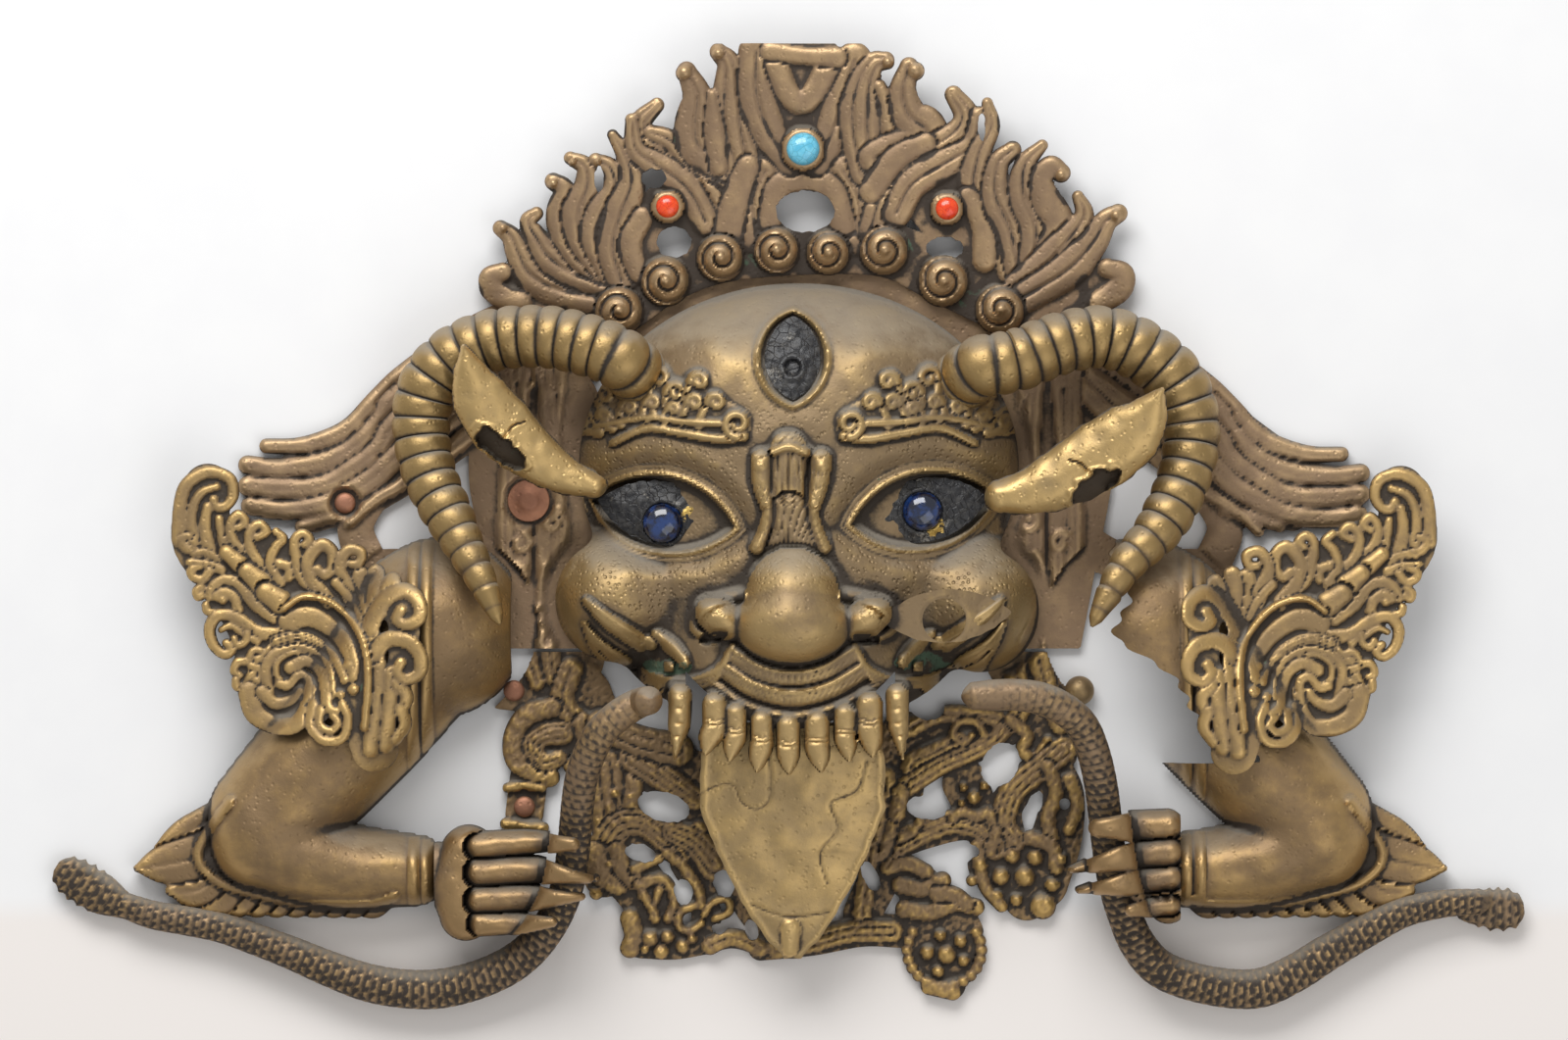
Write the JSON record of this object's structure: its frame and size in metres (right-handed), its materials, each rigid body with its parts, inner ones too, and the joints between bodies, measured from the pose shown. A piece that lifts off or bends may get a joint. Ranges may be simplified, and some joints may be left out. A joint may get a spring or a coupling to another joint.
{
  "type": "guardian deity mask",
  "caption": "Brass mask of a horned, tusked guardian with flame crown, tongue out, bent arms holding snakes and pierced foliage plate, for the head of a shrine arch.",
  "frame": {"origin": "centre of the bounding box at the plane that the back plates lie on", "axes": "+X to the right seen from the front, across both arms; +Y from the tongue to the crown; +Z out of the face"},
  "size_m": [0.7002, 0.4572, 0.0967],
  "materials": {
    "hair_bronze": "brown patina with dust",
    "foliage_brass": "worn, dark in the recesses",
    "face_brass": "handled, worn bright on the high places",
    "crown_bronze": "brown patina with dust",
    "horn_brass": "worn on the rings",
    "arm_brass": "worn",
    "armlet_brass": "bright on the ridges",
    "snake_bronze": "dark, scaled",
    "copper": "dull copper",
    "resin": "cracked black paste",
    "eye_glass": "polished dark blue",
    "turquoise": "polished",
    "coral": "polished"
  },
  "bodies": {
    "root": {"mane_plate": "hair_bronze", "foliage_plate": "foliage_brass", "face": "face_brass", "crown": "crown_bronze", "turquoise_cabochon": "turquoise", "coral_cabochon_left": "coral", "coral_cabochon_right": "coral", "eye_paste_left": "resin", "eye_paste_right": "resin", "eye_glass_left": "eye_glass", "eye_glass_right": "eye_glass", "third_eye_paste": "resin", "loose_eye_plate": "face_brass", "horn_left": "horn_brass", "horn_right": "horn_brass", "ear_left": "face_brass", "ear_right": "face_brass", "tongue": "face_brass", "snake_left": "snake_bronze", "snake_right": "snake_bronze", "arm_left": "arm_brass", "arm_right": "arm_brass", "armlet_left": "armlet_brass", "armlet_right": "armlet_brass", "hand_left": "arm_brass", "hand_right": "arm_brass", "rivet_arm_tab_left": "copper", "rivet_foliage_left": "copper", "rivet_streamer_left": "copper", "rivet_ball_right": "arm_brass", "copper_patch_left": "copper"}
  },
  "joints": []
}
